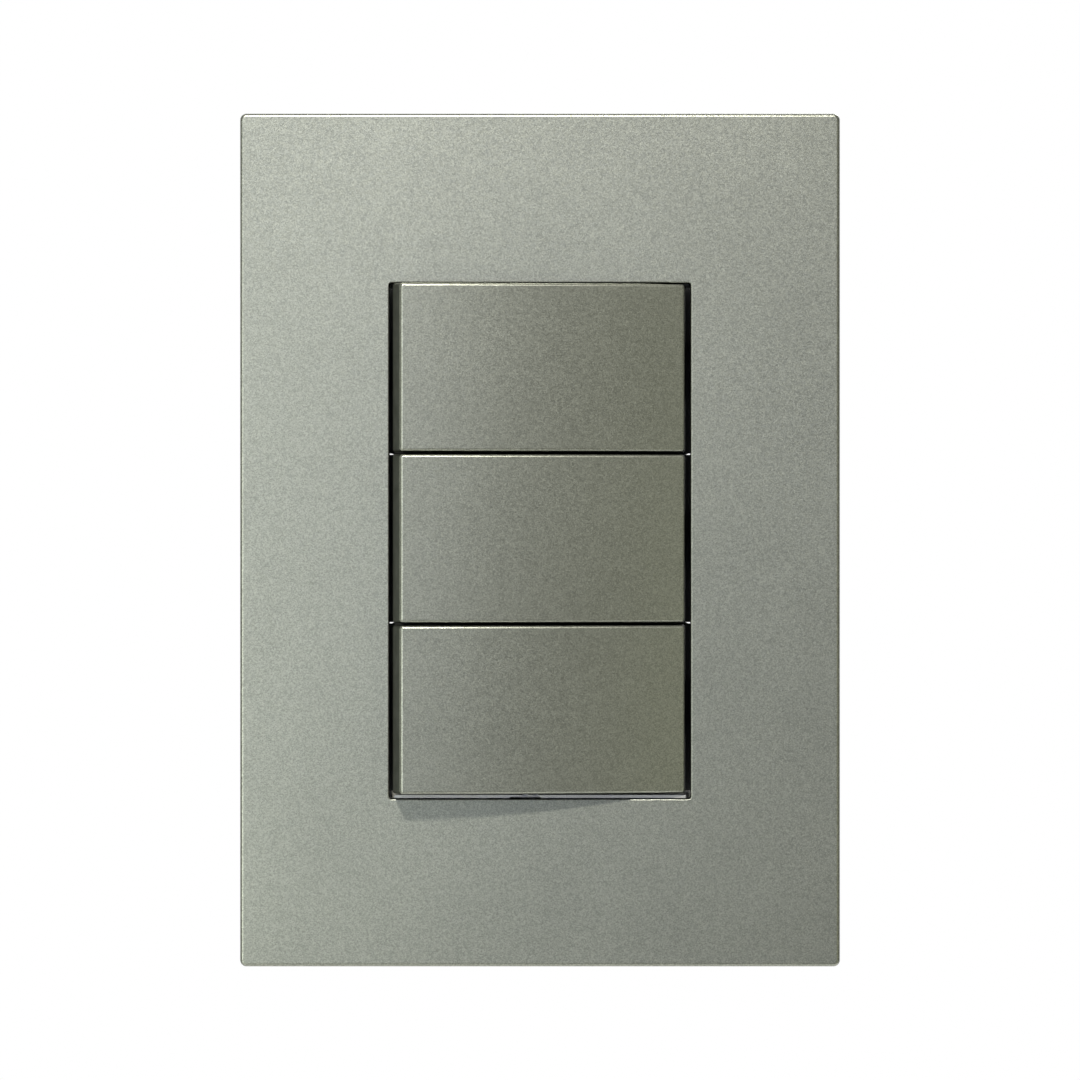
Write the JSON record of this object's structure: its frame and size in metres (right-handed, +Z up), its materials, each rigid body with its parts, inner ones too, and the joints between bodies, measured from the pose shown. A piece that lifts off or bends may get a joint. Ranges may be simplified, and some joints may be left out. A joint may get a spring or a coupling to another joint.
{
  "type": "three-gang rocker light switch with wall plate cover",
  "caption": "Rectangular wall plate with a central opening that holds a stack of rocker switch keys, each rocking about an upright pin and throwing a contact lever in a switch behind it.",
  "frame": {"origin": "middle of the cover plate's rear rim, on the plane of the wall's surface", "axes": "+Z up, +X to the right as seen from the front, +Y into the wall, so that the front faces -Y"},
  "size_m": [0.0848, 0.0352, 0.1204],
  "materials": {
    "silver_paint": "satin silver-grey metallic paint with a fine flake over charcoal moulded plastic",
    "frame_plastic": "light grey polycarbonate, satin",
    "cradle_plastic": "charcoal moulded plastic, lightly textured",
    "housing_plastic": "dark grey glass-filled nylon, fine matt texture",
    "bridge_plastic": "black glass-filled nylon, matt",
    "plunger_plastic": "natural acetal, smooth",
    "zinc_steel": "bright zinc plate",
    "spring_steel": "drawn spring wire",
    "brass": "stamped brass strip, slightly dull",
    "silver_alloy": "silver contact alloy, matt"
  },
  "bodies": {
    "wall_assembly": {"cover_plate": "silver_paint", "support_frame": "frame_plastic", "box_screw_upper": "zinc_steel", "box_screw_lower": "zinc_steel", "module_bridge_upper": "bridge_plastic", "switch_housing_upper": "housing_plastic", "common_terminal_upper": "brass", "fixed_terminal_upper": "brass", "fixed_contact_upper": "silver_alloy", "clamp_plate_common_upper": "zinc_steel", "clamp_plate_switched_upper": "zinc_steel", "terminal_screw_common_upper": "zinc_steel", "terminal_screw_switched_upper": "zinc_steel", "module_bridge_middle": "bridge_plastic", "switch_housing_middle": "housing_plastic", "common_terminal_middle": "brass", "fixed_terminal_middle": "brass", "fixed_contact_middle": "silver_alloy", "clamp_plate_common_middle": "zinc_steel", "clamp_plate_switched_middle": "zinc_steel", "terminal_screw_common_middle": "zinc_steel", "terminal_screw_switched_middle": "zinc_steel", "module_bridge_lower": "bridge_plastic", "switch_housing_lower": "housing_plastic", "common_terminal_lower": "brass", "fixed_terminal_lower": "brass", "fixed_contact_lower": "silver_alloy", "clamp_plate_common_lower": "zinc_steel", "clamp_plate_switched_lower": "zinc_steel", "terminal_screw_common_lower": "zinc_steel", "terminal_screw_switched_lower": "zinc_steel"},
    "upper_rocker": {"rocker_key_upper": "silver_paint", "rocker_cradle_upper": "cradle_plastic", "plunger_spring_upper": "spring_steel"},
    "upper_plunger": {"plunger_upper": "plunger_plastic"},
    "upper_lever": {"contact_lever_upper": "brass", "moving_contact_upper": "silver_alloy"},
    "middle_rocker": {"rocker_key_middle": "silver_paint", "rocker_cradle_middle": "cradle_plastic", "plunger_spring_middle": "spring_steel"},
    "middle_plunger": {"plunger_middle": "plunger_plastic"},
    "middle_lever": {"contact_lever_middle": "brass", "moving_contact_middle": "silver_alloy"},
    "lower_rocker": {"rocker_key_lower": "silver_paint", "rocker_cradle_lower": "cradle_plastic", "plunger_spring_lower": "spring_steel"},
    "lower_plunger": {"plunger_lower": "plunger_plastic"},
    "lower_lever": {"contact_lever_lower": "brass", "moving_contact_lower": "silver_alloy"}
  },
  "joints": [
    {"name": "upper_rocker_pivot", "type": "hinge", "parent": "wall_assembly", "child": "upper_rocker", "pos_m": [0, -0.0074, 0.02422], "axis": [0, 0, -1], "range_deg": [0, 14]},
    {"name": "upper_lever_pivot", "type": "hinge", "parent": "wall_assembly", "child": "upper_lever", "pos_m": [0, 0.00905, 0.02422], "axis": [0, 0, 1], "range_deg": [0, 16]},
    {"name": "upper_plunger_slide", "type": "slide", "parent": "upper_rocker", "child": "upper_plunger", "axis": [0.1219, -0.9925, 0], "range_m": [0, 0.0008], "stiffness_N_per_m": 400, "deforming": ["plunger_spring_upper"]},
    {"name": "middle_rocker_pivot", "type": "hinge", "parent": "wall_assembly", "child": "middle_rocker", "pos_m": [0, -0.0074, 0.00022], "axis": [0, 0, -1], "range_deg": [0, 14]},
    {"name": "middle_lever_pivot", "type": "hinge", "parent": "wall_assembly", "child": "middle_lever", "pos_m": [0, 0.00905, 0.00022], "axis": [0, 0, 1], "range_deg": [0, 16]},
    {"name": "middle_plunger_slide", "type": "slide", "parent": "middle_rocker", "child": "middle_plunger", "axis": [0.1219, -0.9925, 0], "range_m": [0, 0.0008], "stiffness_N_per_m": 400, "deforming": ["plunger_spring_middle"]},
    {"name": "lower_rocker_pivot", "type": "hinge", "parent": "wall_assembly", "child": "lower_rocker", "pos_m": [0, -0.0074, -0.02378], "axis": [0, 0, -1], "range_deg": [0, 14]},
    {"name": "lower_lever_pivot", "type": "hinge", "parent": "wall_assembly", "child": "lower_lever", "pos_m": [0, 0.00905, -0.02378], "axis": [0, 0, 1], "range_deg": [0, 16]},
    {"name": "lower_plunger_slide", "type": "slide", "parent": "lower_rocker", "child": "lower_plunger", "axis": [0.1219, -0.9925, 0], "range_m": [0, 0.0008], "stiffness_N_per_m": 400, "deforming": ["plunger_spring_lower"]}
  ],
  "couplings": [
    {"joint": "upper_lever_pivot", "follows": "upper_rocker_pivot", "ratio": 1.1429},
    {"joint": "middle_lever_pivot", "follows": "middle_rocker_pivot", "ratio": 1.1429},
    {"joint": "lower_lever_pivot", "follows": "lower_rocker_pivot", "ratio": 1.1429}
  ]
}
